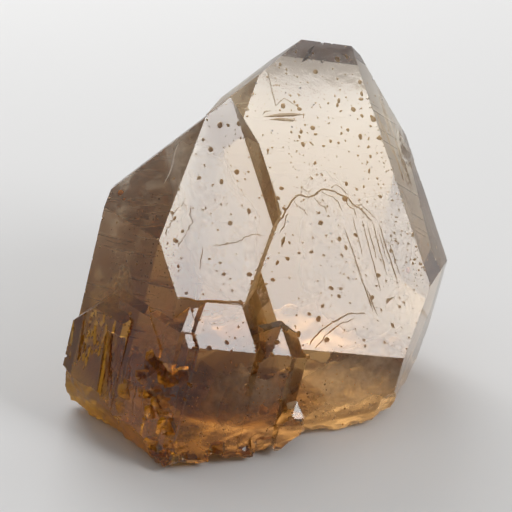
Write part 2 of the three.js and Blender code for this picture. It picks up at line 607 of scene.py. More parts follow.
def crumpled(route, seed, gap=1.0, sway=0.5, shift=(0, 0)):
    """A route with points put in every gap mm and moved sideways at random."""
    draw = random.Random(seed)
    result = []
    for (r0, u0), (r1, u1) in zip(route, route[1:]):
        count = max(1, int(math.hypot(r1 - r0, u1 - u0) / gap))
        for i in range(count):
            t = i / count
            result.append((r0 + (r1 - r0) * t + shift[0], u0 + (u1 - u0) * t + shift[1]))
    result.append((route[-1][0] + shift[0], route[-1][1] + shift[1]))
    return [(r + draw.uniform(-sway, sway), u + draw.uniform(-sway, sway)) for r, u in result]


SHEET_EDGE = [
    (-21.2, -3), (-17.5, 0.5), (-15, 2.9), (-12.5, 4.6), (-9.9, 5.3), (-7.5, 3.6), (-4.8, 3.8),
    (-2, 5.2), (1.2, 4.6), (3.6, 3), (5.8, 1.5), (7.6, -1.2), (9.2, -3.5), (11, -6.5), (12.6, -9.1),
]
CRUMPLES = [
    [(-21.5, -5.5), (-19, -3.6), (-17.6, -1), (-15.8, 0.4)],
    [(-12.8, 4.4), (-12.2, 1.8), (-10.2, 0.2), (-9.4, -2.2)],
    [(-10, 5.4), (-8.4, 7.2), (-6.6, 5.2), (-5, 6.4)],
    [(-5, 3.8), (-4.4, 1), (-2.6, -0.6), (-2.4, -3)],
    [(-2.4, 5.2), (-0.4, 2.8), (1.6, 2.2), (3, -0.8), (3.2, -3.4)],
    [(1.2, 4.6), (3.4, 6), (5.4, 4.2), (7, 1.2)],
    [(5.8, 1.5), (6, -1.4), (7.4, -3.8), (7.4, -6.6)],
    [(8.4, -2.2), (10.6, -2.6), (12.4, -5.6), (14.2, -8.4)],
]
groove("sheet_edge", FRONT, crumpled(SHEET_EDGE, 51, 1.1, 0.35), 0.6, 0.24)
for index, route in enumerate(CRUMPLES):
    groove(f"crumple_{index}", FRONT, crumpled(route, 52 + index, 1.1, 0.3), 0.34, 0.17)

GROWTH_LINES = [
    ((2.2, -9), (3.4, -39), 0.4), ((9.3, -7), (8.2, -33), 0.35), ((12.7, -9), (12.2, -28), 0.4),
    ((14.9, -10), (15.2, -31), 0.45), ((6.4, -5), (5.6, -20), 0.3), ((13.9, -12), (13.8, -24), 0.3),
    ((10.8, -9), (10.2, -22), 0.3), ((16.4, -16), (16.9, -29), 0.3), ((3.6, -30), (4.4, -40), 0.5),
]
for index, (start, end, width) in enumerate(GROWTH_LINES):
    route = crumpled([start, end], 60 + index, 2.5, 0.12)
    groove(f"growth_line_{index}", FRONT, route, width, width * 0.45)

SHELL_EDGE = [(-22.4, -43.7), (-17.3, -40.5), (-11.7, -38.3), (-4.2, -37), (1, -38.5)]
groove("shell_edge", FRONT, crumpled(SHELL_EDGE, 69, 1.4, 0.3), 0.45, 0.2)
groove("shell_edge_low", FRONT, crumpled(SHELL_EDGE[:4], 70, 1.6, 0.4, (1.2, -1.6)), 0.35, 0.17)
JOIN = [(-22.5, -24.4), (-16, -27), (0.6, -31.4)]
groove("join_line", LEFT_FRONT, crumpled(JOIN, 71, 2, 0.25), 0.8, 0.6)
TIP_CRACK = [(-8.3, 48.8), (-9.2, 36.6), (-5.3, 38.3), (-0.7, 33.8)]
groove("tip_crack", FRONT, crumpled(TIP_CRACK, 72, 1.3, 0.25), 0.35, 0.2)
for index, route in enumerate((
    [(-20, -4), (-15, 2), (-9, 6)], [(-17, -9), (-10, -2), (-9, 4)], [(-12, -18), (-9, -10)],
    [(-5, -11), (3, -12), (9, -10), (13, -12)],
)):
    path = crumpled(route, 74 + index, 1.1, 0.45)
    groove(f"left_mark_{index}", LEFT_FRONT, path, 0.32, 0.16)


streak_draw = random.Random(81)
for index in range(26):
    start_right = streak_draw.uniform(-1, 18)
    start_up = streak_draw.uniform(-4, 26)
    length = streak_draw.uniform(4, 13)
    lean = streak_draw.uniform(0.4, 0.7)
    ends = [(start_right, start_up), (start_right - lean * length, start_up - length)]
    path = crumpled(ends, 82 + index, 1.5, 0.34)
    groove(f"right_streak_{index}", RIGHT_TIP, path, streak_draw.uniform(0.6, 1.6), 0.42)


# The sides of quartz carry fine lines square to its axis.
def cross_lines(name, plane, seed, width, height, gap):
    """Cut lines square to the crystal's axis across a side face, at uneven gaps in mm."""
    draw = random.Random(seed)
    square = plane.out.cross(AXIS)
    way = Vector((square.dot(plane.right), square.dot(plane.up))).normalized()
    step = Vector((-way.y, way.x))
    away, index = -height / 2, 0
    while away < height / 2:
        middle = step * away + way * draw.uniform(-0.4, 0.4) * width
        reach = draw.uniform(0.12, 0.45) * width
        ends = [tuple(middle - way * reach), tuple(middle + way * reach)]
        depth = draw.uniform(0.04, 0.11)
        route = crumpled(ends, seed + index, 3.5, 0.06)
        groove(f"{name}_{index}", plane, route, depth * 14, depth, "skin_rib")
        away += draw.uniform(0.4, 1.6) * gap
        index += 1


# name, azimuth, rank, width, height, gap
SIDES = [
    ("back_line", 180, 0, 60, 70, 3.4), ("left_back_line", 180, 1, 34, 66, 3.8),
    ("right_line", 120, 0, 26, 56, 3.2), ("left_line", 240, 0, 36, 56, 3.4),
    ("low_right_line", 60, 0, 22, 40, 3.4),
]
for index, (name, azimuth, rank, width, height, gap) in enumerate(SIDES):
    side = face_plane(plain_body.data, face_way(azimuth, SIDE_TILT), rank)
    cross_lines(name, side, 300 + 40 * index, width, height, gap)

# wide short grooves: a flame-shaped scar near the point and two rod-shaped pockets
SCARS = [
    ([(-14.4, 33.5), (-9, 33), (-4, 32.2), (0, 31.4)], 1.3, 0.4),
    ([(-13, 32.2), (-9, 31.6), (-5, 30.4), (-3.4, 29.8)], 1.0, 0.32),
    ([(-14.6, 34.2), (-13.6, 35.2), (-11, 35)], 0.6, 0.25),
    ([(-21.7, -10), (-20.7, -8.3), (-19.4, -6.9)], 1.3, 0.45),
    ([(9, -37), (9.9, -35.8), (12.2, -35.4)], 1.2, 0.4),
]
for index, (route, width, depth) in enumerate(SCARS):
    groove(f"scar_{index}", FRONT, route, width, depth)

# %% [markdown]
# ## Pits and nicks by rule
#
# The growth faces carry hundreds of small oval pits, and the sharp edges are nicked all along. Both
# are one small blob repeated, so a Geometry Nodes tree scatters it: over the faces for the pits, and
# along the sharp edges for the nicks. The seed is fixed, so the same marks come back each time.


# %% Geometry Nodes helpers
def new_tree(name, inputs):
    """A geometry tree with a Geometry input and output, and named inputs (label, kind, value)."""
    tree = bpy.data.node_groups.new(name, "GeometryNodeTree")
    tree.interface.new_socket("Geometry", in_out="INPUT", socket_type="NodeSocketGeometry")
    for label, kind, value in inputs:
        socket = tree.interface.new_socket(label, in_out="INPUT", socket_type="NodeSocket" + kind)
        if value is not None:
            socket.default_value = value
    tree.interface.new_socket("Geometry", in_out="OUTPUT", socket_type="NodeSocketGeometry")
    return tree, tree.nodes.new("NodeGroupInput"), tree.nodes.new("NodeGroupOutput")


def run_tree(host, tree, values):
    """Run a tree on a host object with its inputs set, and return what it makes as a plain mesh."""
    modifier = host.modifiers.new(tree.name, "NODES")
    modifier.node_group = tree
    for item in tree.interface.items_tree:
        if item.in_out == "INPUT" and item.name in values:
            modifier[item.identifier] = values[item.name]
    mesh = evaluated_mesh(host)
    host.modifiers.remove(modifier)
    return mesh


def blob_on_points(tree, group_in, points, rotation):
    """Put an oval blob of random size on each point, uneven, and give it the material."""
    nodes, link = tree.nodes, tree.links.new
    blob = nodes.new("GeometryNodeMeshIcoSphere")
    blob.inputs["Radius"].default_value = 1
    link(group_in.outputs["Detail"], blob.inputs["Subdivisions"])

    size = nodes.new("FunctionNodeRandomValue")
    size.data_type = "FLOAT"
    size.inputs[2].default_value = 0
    size.inputs[3].default_value = 1
    link(group_in.outputs["Seed"], size.inputs["Seed"])
    skew = nodes.new("ShaderNodeMath")
    skew.operation = "POWER"
    link(size.outputs[1], skew.inputs[0])
    skew.inputs[1].default_value = 2.5
    span = nodes.new("ShaderNodeMapRange")
    link(skew.outputs[0], span.inputs["Value"])
    link(group_in.outputs["Smallest"], span.inputs["To Min"])
    link(group_in.outputs["Largest"], span.inputs["To Max"])

    stretch = nodes.new("FunctionNodeRandomValue")
    stretch.data_type = "FLOAT"
    stretch.inputs[2].default_value = 0.55
    stretch.inputs[3].default_value = 1.0
    narrow = nodes.new("ShaderNodeMath")
    narrow.operation = "MULTIPLY"
    link(span.outputs["Result"], narrow.inputs[0])
    link(stretch.outputs[1], narrow.inputs[1])
    flat = nodes.new("ShaderNodeMath")
    flat.operation = "MULTIPLY"
    link(span.outputs["Result"], flat.inputs[0])
    link(group_in.outputs["Flatness"], flat.inputs[1])
    scale = nodes.new("ShaderNodeCombineXYZ")
    link(span.outputs["Result"], scale.inputs[0])
    link(narrow.outputs[0], scale.inputs[1])
    link(flat.outputs[0], scale.inputs[2])

    spin = nodes.new("FunctionNodeRandomValue")
    spin.data_type = "FLOAT_VECTOR"
    spin.inputs[0].default_value = (0, 0, 0)
    spin.inputs[1].default_value = (0, 0, 2 * math.pi)
    turned = nodes.new("FunctionNodeRotateRotation")
    turned.rotation_space = "LOCAL"
    link(rotation, turned.inputs[0])
    link(spin.outputs[0], turned.inputs[1])

    place = nodes.new("GeometryNodeInstanceOnPoints")
    link(points, place.inputs["Points"])
    link(blob.outputs["Mesh"], place.inputs["Instance"])
    link(turned.outputs[0], place.inputs["Rotation"])
    link(scale.outputs[0], place.inputs["Scale"])
    real = nodes.new("GeometryNodeRealizeInstances")
    link(place.outputs[0], real.inputs[0])

    rough = nodes.new("ShaderNodeTexNoise")
    rough.inputs["Scale"].default_value = 900
    centred = nodes.new("ShaderNodeVectorMath")
    centred.operation = "SUBTRACT"
    centred.inputs[1].default_value = (0.5, 0.5, 0.5)
    link(rough.outputs["Color"], centred.inputs[0])
    shift = nodes.new("ShaderNodeVectorMath")
    shift.operation = "SCALE"
    link(centred.outputs[0], shift.inputs[0])
    link(group_in.outputs["Unevenness"], shift.inputs["Scale"])
    uneven = nodes.new("GeometryNodeSetPosition")
    link(real.outputs[0], uneven.inputs["Geometry"])
    link(shift.outputs[0], uneven.inputs["Offset"])
    paint = nodes.new("GeometryNodeSetMaterial")
    link(uneven.outputs[0], paint.inputs["Geometry"])
    link(group_in.outputs["Material"], paint.inputs["Material"])
    return paint.outputs[0]


BLOB_INPUTS = [
    ("Smallest", "Float", 0.0002),
    ("Largest", "Float", 0.0008),
    ("Flatness", "Float", 0.3),
    ("Unevenness", "Float", 0.0001),
    ("Detail", "Int", 2),
    ("Seed", "Int", 1),
    ("Material", "Material", None),
]


def scatter_tree():
    """Blobs scattered over a surface, no two closer than Spacing."""
    inputs = [("Density", "Float", 1e4), ("Spacing", "Float", 0.002)] + BLOB_INPUTS
    tree, group_in, group_out = new_tree("scatter_over_faces", inputs)
    nodes, link = tree.nodes, tree.links.new
    points = nodes.new("GeometryNodeDistributePointsOnFaces")
    points.distribute_method = "POISSON"
    link(group_in.outputs["Geometry"], points.inputs["Mesh"])
    link(group_in.outputs["Spacing"], points.inputs["Distance Min"])
    link(group_in.outputs["Density"], points.inputs["Density Max"])
    link(group_in.outputs["Seed"], points.inputs["Seed"])
    made = blob_on_points(tree, group_in, points.outputs["Points"], points.outputs["Rotation"])
    link(made, group_out.inputs["Geometry"])
    return tree


def edge_tree():
    """Blobs strung along the host's edges at Spacing, some left out and all moved a little."""
    inputs = [("Spacing", "Float", 0.002), ("Keep", "Float", 0.5), ("Wander", "Float", 0.0002)]
    tree, group_in, group_out = new_tree("nicks_along_edges", inputs + BLOB_INPUTS)
    nodes, link = tree.nodes, tree.links.new
    curve = nodes.new("GeometryNodeMeshToCurve")
    link(group_in.outputs["Geometry"], curve.inputs["Mesh"])
    beads = nodes.new("GeometryNodeCurveToPoints")
    beads.mode = "LENGTH"
    link(curve.outputs[0], beads.inputs["Curve"])
    link(group_in.outputs["Spacing"], beads.inputs["Length"])
    chance = nodes.new("FunctionNodeRandomValue")
    chance.data_type = "FLOAT"
    link(group_in.outputs["Seed"], chance.inputs["Seed"])
    leave_out = nodes.new("FunctionNodeCompare")
    leave_out.data_type = "FLOAT"
    leave_out.operation = "GREATER_THAN"
    link(chance.outputs[1], leave_out.inputs[0])
    link(group_in.outputs["Keep"], leave_out.inputs[1])
    fewer = nodes.new("GeometryNodeDeleteGeometry")
    fewer.domain = "POINT"
    link(beads.outputs["Points"], fewer.inputs["Geometry"])
    link(leave_out.outputs[0], fewer.inputs["Selection"])
    drift = nodes.new("FunctionNodeRandomValue")
    drift.data_type = "FLOAT_VECTOR"
    drift.inputs[0].default_value = (-1, -1, -1)
    drift.inputs[1].default_value = (1, 1, 1)
    far = nodes.new("ShaderNodeVectorMath")
    far.operation = "SCALE"
    link(drift.outputs[0], far.inputs[0])
    link(group_in.outputs["Wander"], far.inputs["Scale"])
    moved = nodes.new("GeometryNodeSetPosition")
    link(fewer.outputs[0], moved.inputs["Geometry"])
    link(far.outputs[0], moved.inputs["Offset"])
    apart = nodes.new("GeometryNodeMergeByDistance")
    link(moved.outputs[0], apart.inputs["Geometry"])
    link(group_in.outputs["Spacing"], apart.inputs["Distance"])
    made = blob_on_points(tree, group_in, apart.outputs[0], beads.outputs["Rotation"])
    link(made, group_out.inputs["Geometry"])
    return tree


# %% [markdown]
# ## The stone itself
#
# Quartz is clear: what gives it colour is how far the light travels in it. The body is plain glass
# with the index of quartz, and an absorption that leaves amber over a few centimetres. The skin of it
# is not the same all over: growth faces are glossy with a faint waviness, breaks are duller.


# %% Citrine material
def new_material(name):
    material = bpy.data.materials.new(name)
    material.use_nodes = True
    tree = material.node_tree
    return material, tree, tree.nodes["Principled BSDF"]


def map_range(tree, value, low, high, to_low=0.0, to_high=1.0):
    """A value from low to high turned smoothly into one from to_low to to_high."""
    node = tree.nodes.new("ShaderNodeMapRange")
    node.interpolation_type = "SMOOTHSTEP"
    node.inputs["From Min"].default_value = low
    node.inputs["From Max"].default_value = high
    node.inputs["To Min"].default_value = to_low
    node.inputs["To Max"].default_value = to_high
    tree.links.new(value, node.inputs["Value"])
    return node.outputs["Result"]


def mix_color(tree, factor, first, second):
    """The first colour where the factor is 0 and the second where it is 1; each is plain or linked."""
    node = tree.nodes.new("ShaderNodeMix")
    node.data_type = "RGBA"
    tree.links.new(factor, node.inputs["Factor"])
    for value, socket in ((first, node.inputs["A"]), (second, node.inputs["B"])):
        if isinstance(value, tuple):
            socket.default_value = value
        else:
            tree.links.new(value, socket)
    return node.outputs["Result"]


def noise_at(tree, vector, scale, detail=3.0, rough=0.55):
    """A cloudy noise from 0 to 1 at a place; scale is in clouds per metre."""
    node = tree.nodes.new("ShaderNodeTexNoise")
    node.inputs["Scale"].default_value = scale
    node.inputs["Detail"].default_value = detail
    node.inputs["Roughness"].default_value = rough
    tree.links.new(vector, node.inputs["Vector"])
    return node.outputs["Fac"]


def distance_mask(tree, place, centre, near, far):
    """One close to a point given in mm, falling to nothing at the far radius."""
    away = tree.nodes.new("ShaderNodeVectorMath")
    away.operation = "DISTANCE"
    tree.links.new(place, away.inputs[0])
    away.inputs[1].default_value = tuple(c * MM for c in centre)
    return map_range(tree, away.outputs["Value"], near * MM, far * MM, 1.0, 0.0)


def citrine_material():
    """Clear quartz with amber absorption; two masks on the body say where it is dull or stained."""
    material, tree, shader = new_material("citrine")
    link = tree.links.new
    shader.inputs["Transmission Weight"].default_value = 1
    shader.inputs["IOR"].default_value = 1.55
    place = tree.nodes.new("ShaderNodeTexCoord").outputs["Object"]
    cloud = noise_at(tree, place, 45)

    warped = tree.nodes.new("ShaderNodeVectorMath")
    warped.operation = "MULTIPLY_ADD"
    drift = tree.nodes.new("ShaderNodeTexNoise")
    drift.inputs["Scale"].default_value = 30
    link(place, drift.inputs["Vector"])
    link(drift.outputs["Color"], warped.inputs[0])
    warped.inputs[1].default_value = (0.02, 0.02, 0.02)
    link(place, warped.inputs[2])
    spot = warped.outputs[0]

    tip = distance_mask(tree, spot, (28, 46, 130), 18, 38)
    amber = distance_mask(tree, spot, (-48, -32, 22), 32, 90)
    color = mix_color(tree, amber, (0.98, 0.97, 0.95, 1), (0.55, 0.32, 0.05, 1))
    color = mix_color(tree, tip, color, (0.52, 0.49, 0.50, 1))
    stain = tree.nodes.new("ShaderNodeAttribute")
    stain.attribute_name = "stain"
    color = mix_color(tree, stain.outputs["Fac"], color, (0.58, 0.36, 0.14, 1))
    link(color, shader.inputs["Base Color"])

    finish = tree.nodes.new("ShaderNodeAttribute")
    finish.attribute_name = "dullness"
    dull = map_range(tree, noise_at(tree, place, 70, 6, 0.65), 0.46, 0.54, 0.42, 0.64)
    gloss = map_range(tree, cloud, 0.3, 0.7, 0.03, 0.07)
    roughness = tree.nodes.new("ShaderNodeMix")
    link(finish.outputs["Fac"], roughness.inputs["Factor"])
    link(gloss, roughness.inputs["A"])
    link(dull, roughness.inputs["B"])
    link(roughness.outputs["Result"], shader.inputs["Roughness"])

    wave = noise_at(tree, place, 160, 4, 0.6)
    bump = tree.nodes.new("ShaderNodeBump")
    bump.inputs["Strength"].default_value = 0.15
    bump.inputs["Distance"].default_value = 0.0002
    link(wave, bump.inputs["Height"])
    link(bump.outputs["Normal"], shader.inputs["Normal"])

    absorb = tree.nodes.new("ShaderNodeVolumeAbsorption")
    absorb.inputs["Color"].default_value = (0.75, 0.57, 0.25, 1)
    absorb.inputs["Density"].default_value = 40
    link(absorb.outputs[0], tree.nodes["Material Output"].inputs["Volume"])
    return material


citrine = citrine_material()


# %% [markdown]
# ## Where the pits go
#
# The pits are crowded on the front face's right side and near the top, and thin elsewhere. So each
# run of the scatter tree gets its own host surface: the faces themselves, or a flat patch laid over a
# part of one. All the blobs of a run become a single tool.


# %% Pits on the growth faces
def face_patch(name, plane, right, up, width, height):
    """A flat rectangle lying in a face plane, as a place to scatter over, with sizes in mm."""
    corners = [
        plane.at(right + x * width / 2, up + y * height / 2)
        for x, y in ((-1, -1), (1, -1), (1, 1), (-1, 1))
    ]
    return new_object(name, mesh_from(name, corners, [(0, 1, 2, 3)]))


def growth_part(target, ways, least_area, name):
    """A surface of only those faces of the target that look along the given directions."""
    shape = bmesh.new()
    shape.from_mesh(target.data)
    limit = math.cos(math.radians(1.5))
    spare = [
        f
        for f in shape.faces
        if f.calc_area() < least_area * MM**2 or not any(f.normal.dot(w) > limit for w in ways)
    ]
    bmesh.ops.delete(shape, geom=spare, context="FACES")
    mesh = bpy.data.meshes.new(name)
    shape.to_mesh(mesh)
    shape.free()
    return new_object(name, mesh)


SCATTER = scatter_tree()
EDGES = edge_tree()
FRONT_WAY = face_way(0, TIP_TILT)
front_fields = growth_part(plain_body, [FRONT_WAY], 200, "front_fields")
all_fields = growth_part(plain_body, GROWTH_WAYS, 20, "all_fields")

right_patch = face_patch("right_patch", FRONT, 20.5, -14, 11, 52)
upper_patch = face_patch("upper_patch", FRONT, 7, 22, 36, 30)

# name, host, density, spacing, smallest, largest, flatness, subdivisions, seed
PIT_RUNS = [
    ("broad_pits", front_fields, 3.0e4, 2.5, 0.40, 1.2, 0.5, 2, 21),
    ("upper_pits", upper_patch, 6.0e4, 2.3, 0.34, 0.95, 0.55, 2, 24),
    ("right_pits", right_patch, 3.0e5, 1.25, 0.22, 0.62, 0.6, 1, 25),
    ("small_pits", front_fields, 8.0e4, 1.2, 0.16, 0.40, 0.6, 1, 22),
    ("side_pits", all_fields, 1.2e4, 2.6, 0.2, 0.8, 0.5, 1, 23),
]
for name, host, density, spacing, smallest, largest, flatness, detail, seed in PIT_RUNS:
    pits = run_tree(
        host,
        SCATTER,
        {
            "Density": density,
            "Spacing": spacing * MM,
            "Smallest": smallest * MM,
            "Largest": largest * MM,
            "Flatness": flatness,
            "Unevenness": 0.34 * smallest * MM,
            "Detail": detail,
            "Seed": seed,
            "Material": skins["skin_pit"],
        },
    )
    print(name, len(pits.polygons) // (20 * 4 ** (detail - 1)), "pits")
    cut(body, pits, name, "skin_pit")


# %% [markdown]
# ## Worn edges
#
# Only the ridges get worn, never the valleys between two crystals, so the sign of the angle between
# two faces picks the edges. The edge tree then strings small blobs along them, uneven in size.


# %% Nicks along the sharp edges
def sharp_edges(target, least_angle, least_length, keep, name):
    """The long ridges of the target, its valleys left out, as a wire mesh."""
    shape = bmesh.new()
    shape.from_mesh(target.data)
    spare = [
        e
        for e in shape.edges
        if e.calc_face_angle_signed(0) < math.radians(least_angle)
        or e.calc_length() < least_length * MM
        or not keep((e.verts[0].co + e.verts[1].co) / 2)
    ]
    bmesh.ops.delete(shape, geom=shape.faces[:], context="FACES_ONLY")
    spare = [e for e in spare if e.is_valid]
    bmesh.ops.delete(shape, geom=spare, context="EDGES")
    mesh = bpy.data.meshes.new(name)
    shape.to_mesh(mesh)
    shape.free()
    return new_object(name, mesh)


above_foot = sharp_edges(plain_body, 12, 2.5, lambda p: p.z > 4 * MM, "above_foot")
battered = sharp_edges(
    plain_body, 12, 1.5, lambda p: p.z > 3 * MM and (p.z < 50 * MM and p.x < 20 * MM), "battered"
)
back_edges = sharp_edges(plain_body, 12, 1.5, lambda p: p.y > 8 * MM, "back_edges")
# name, host, spacing, share kept, wander, smallest, largest, seed
NICK_RUNS = [
    ("edge_nicks", above_foot, 1.7, 0.45, 0.25, 0.15, 0.75, 31),
    ("back_chips", back_edges, 3.1, 0.5, 0.5, 0.35, 1.5, 33),
    ("edge_chips", battered, 3.6, 0.55, 0.5, 0.5, 1.7, 32),
]
for name, host, spacing, keep, wander, smallest, largest, seed in NICK_RUNS:
    nicks = run_tree(
        host,
        EDGES,
        {
            "Spacing": spacing * MM,
            "Keep": keep,
            "Wander": wander * MM,
            "Smallest": smallest * MM,
            "Largest": largest * MM,
            "Flatness": 0.55,
            "Unevenness": smallest * MM,
            "Detail": 1,
            "Seed": seed,
            "Material": skins["skin_nick"],
        },
    )
    print(name, len(nicks.polygons) // 20, "nicks")
    cut(body, nicks, name, "skin_nick")


# %% [markdown]
# ## One body, one material
#
# Each skin now turns into two numbers on every face, how dull it is and how stained, which the stone's
# material reads. The growth faces at the back are made dull too. That is a choice for the look: the
# soft scatter behind the glossy front is what makes the amber glow.


# %% Finish the body
BACK_DULLNESS = 1.0


def finish_body(target, material):
    """Turn the tools' skins into two masks, and leave the growth faces flat in one material."""
    mesh = target.data
    slots = [slot.name if slot else "skin_growth" for slot in mesh.materials] or ["skin_growth"]
    limit = math.cos(math.radians(0.8))
    dull = np.zeros(len(mesh.polygons), dtype=np.float32)
    stain = np.zeros(len(mesh.polygons), dtype=np.float32)
    flat = np.zeros(len(mesh.polygons), dtype=bool)
    for face in mesh.polygons:
        dull[face.index], stain[face.index] = SKINS[slots[face.material_index]]
        face.material_index = 0
        if any(face.normal.dot(way) > limit for way in GROWTH_WAYS) and face.area > 0.02 * MM**2:
            flat[face.index] = True
            dull[face.index] = BACK_DULLNESS if face.normal.y > 0.2 else 0.0
            stain[face.index] = 0
    mesh.materials.clear()
    mesh.materials.append(material)
    mesh.set_sharp_from_angle(angle=math.radians(35))
    mesh.attributes.new("sharp_face", "BOOLEAN", "FACE").data.foreach_set("value", flat)
    mesh.attributes.new("dullness", "FLOAT", "FACE").data.foreach_set("value", dull)
    mesh.attributes.new("stain", "FLOAT", "FACE").data.foreach_set("value", stain)
    triangles = sum(len(p.vertices) - 2 for p in mesh.polygons)
    print("skins:", slots)
    print("body:", len(mesh.polygons), "faces,", triangles, "triangles,", int(flat.sum()), "flat")


finish_body(body, citrine)
hosts = (plain_body, front_fields, all_fields, right_patch, upper_patch)
for spare in hosts + (above_foot, battered, back_edges):
    bpy.data.objects.remove(spare)
for skin in skins.values():
    bpy.data.materials.remove(skin)

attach(body, "root")
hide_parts("citrine_crystal")

# %% [markdown]
# ## Colour zones
#
# The stone isn't one colour all through: it grew paler as it went, so the oldest part at the foot is
# deep amber and one corner is almost red. A zone is a cloud of extra absorption, a closed shape kept
# inside the body with no surface of its own to see, because its index is that of nothing at all.


# %% Zones
def uneven_ball(name, centre, radii, detail, unevenness, turn=0.0):
    """A closed ball stretched to radii in mm, with noise on it, as a mesh in place."""
    shape = bmesh.new()
    bmesh.ops.create_icosphere(shape, subdivisions=detail, radius=1)
    stretch = Matrix.Diagonal(Vector(radii))
    swing = Matrix.Rotation(turn, 3, "Y")
    for vertex in shape.verts:
        lump = 1 + unevenness * noise.noise(vertex.co * 1.7 + Vector(centre))
        vertex.co = (Vector(centre) + swing @ (stretch @ (vertex.co * lump))) * MM
    for face in shape.faces:
        face.smooth = True
    mesh = bpy.data.meshes.new(name)
    shape.to_mesh(mesh)
    shape.free()
    return mesh


def tuck_in(mesh, margin):
    """Move every point that isn't a margin in mm inside the body's skin back to that depth."""
    moved = 0
    for vertex in mesh.vertices:
        _, where, normal, _ = body.closest_point_on_mesh(vertex.co)
        if (vertex.co - where).dot(normal) > -margin * MM:
            vertex.co = where - normal * margin * MM
            moved += 1
    return moved


def zone_material(name, color, density):
    """Nothing but absorption: an index of 1 and no shine, so that the zone's skin can't be seen."""
    material, tree, shader = new_material(name)
    shader.inputs["Transmission Weight"].default_value = 1
    shader.inputs["IOR"].default_value = 1.0
    shader.inputs["Roughness"].default_value = 0.0
    shader.inputs["Specular IOR Level"].default_value = 0.0
    place = tree.nodes.new("ShaderNodeTexCoord").outputs["Object"]
    cloud = noise_at(tree, place, 90)
    veiled = mix_color(tree, cloud, (1, 1, 1, 1), (0.93, 0.90, 0.86, 1))
    tree.links.new(veiled, shader.inputs["Base Color"])
    absorb = tree.nodes.new("ShaderNodeVolumeAbsorption")
    absorb.inputs["Color"].default_value = color
    absorb.inputs["Density"].default_value = density
    tree.links.new(absorb.outputs[0], tree.nodes["Material Output"].inputs["Volume"])
    return material


# name, centre, radii, colour, density, turn
ZONES = [
    ("amber_zone", (-9, -26, 17.5), (30, 13, 11), (0.52, 0.36, 0.0, 1), 120, 0.2),
    ("corner_zone", (-37, -28, 31), (9, 7, 11), (0.68, 0.36, 0.0, 1), 40, 0.2),
]


for name, centre, radii, color, density, turn in ZONES:
    zone = new_object(name, uneven_ball(name, centre, radii, 4, 0.22, turn))
    zone.data.materials.append(zone_material(name + "_tint", color, density))
    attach(zone, "root")
    print(name, "points tucked in:", tuck_in(zone.data, 1.0))

# %% [markdown]
# ## Veils of flecks
#
# Cracks that healed while the crystal grew are marked by sheets of tiny drops and grains. Each veil
# is a gently curved sheet that only serves as the host for the same scatter tree as the pits: the
# sheet itself is thrown away and the flecks stay. Flecks that would touch the skin are left out.


# %% Fleck materials
def fleck_material(name, dark, light, roughness):
    material, tree, shader = new_material(name)
    place = tree.nodes.new("ShaderNodeTexCoord").outputs["Object"]
    grain = map_range(tree, noise_at(tree, place, 1400, 2), 0.35, 0.65)
    tree.links.new(mix_color(tree, grain, dark, light), shader.inputs["Base Color"])
    low, high = max(roughness - 0.1, 0), roughness + 0.15
    glint = map_range(tree, noise_at(tree, place, 600, 2), 0.3, 0.7, low, high)
    tree.links.new(glint, shader.inputs["Roughness"])
    shader.inputs["Specular IOR Level"].default_value = 0.3
    return material


brown_fleck = fleck_material("brown_fleck", (0.05, 0.022, 0.006, 1), (0.16, 0.08, 0.03, 1), 0.5)
gold_fleck = fleck_material("gold_fleck", (0.42, 0.22, 0.06, 1), (0.95, 0.70, 0.35, 1), 0.35)
pale_fleck = fleck_material("pale_fleck", (0.75, 0.68, 0.60, 1), (1.0, 0.97, 0.93, 1), 0.3)
rust_fleck = fleck_material("rust_fleck", (0.45, 0.13, 0.02, 1), (0.85, 0.34, 0.06, 1), 0.6)


# %% Veils
def curved_sheet(name, centre, facing, width, height, bend, seed):
    """A round sheet centred in mm, bent by bend mm, ragged at its rim, with a fade of 1 to 0 outwards."""
    plane = FacePlane(Vector(centre) * MM, Vector(facing))
    spokes, rings = 30, 9
    spots = [(0.0, 0.0, 1.0)]
    for ring in range(1, rings + 1):
        for spoke in range(spokes):
            angle = 2 * math.pi * spoke / spokes
            ragged = noise.noise(Vector((math.cos(angle) * 1.4, math.sin(angle) * 1.4, seed)))
            away = ring / rings * (1 + 0.4 * ragged)
            right, up = math.cos(angle) * away * width / 2, math.sin(angle) * away * height / 2
            spots.append((right, up, 1 - ring / rings))
    points = []
    for right, up, _ in spots:
        swell = noise.noise(Vector((right * 0.07, up * 0.07, seed))) * 1.5
        curl = -((right / width) ** 2 + (up / height) ** 2) * 2
        points.append(plane.at(right, up, bend * (swell + curl)))
    faces = [(0, 1 + i, 1 + (i + 1) % spokes) for i in range(spokes)]
    for ring in range(rings - 1):
        a, b = 1 + ring * spokes, 1 + (ring + 1) * spokes
        for i in range(spokes):
            j = (i + 1) % spokes
            faces.append((a + i, b + i, b + j, a + j))
    mesh = mesh_from(name, points, faces)
    mesh.attributes.new("fade", "FLOAT", "POINT").data.foreach_set("value", [f for _, _, f in spots])
    return new_object(name, mesh)


def keep_inside(mesh, corners_each, margin):
    """Drop every blob that comes within a margin in mm of the body's skin, or is outside it."""
    shape = bmesh.new()
    shape.from_mesh(mesh)
    shape.verts.ensure_lookup_table()
    spare = []
    for first in range(0, len(shape.verts), corners_each):
        blob = [shape.verts[i] for i in range(first, first + corners_each)]
        middle = sum((v.co for v in blob), Vector()) / corners_each
        reach = max((v.co - middle).length for v in blob) + margin * MM
        _, where, normal, _ = body.closest_point_on_mesh(middle)
        if (middle - where).dot(normal) > -reach:
            spare += blob
    bmesh.ops.delete(shape, geom=spare, context="VERTS")
    for face in shape.faces:
        face.smooth = True
    shape.to_mesh(mesh)
    shape.free()


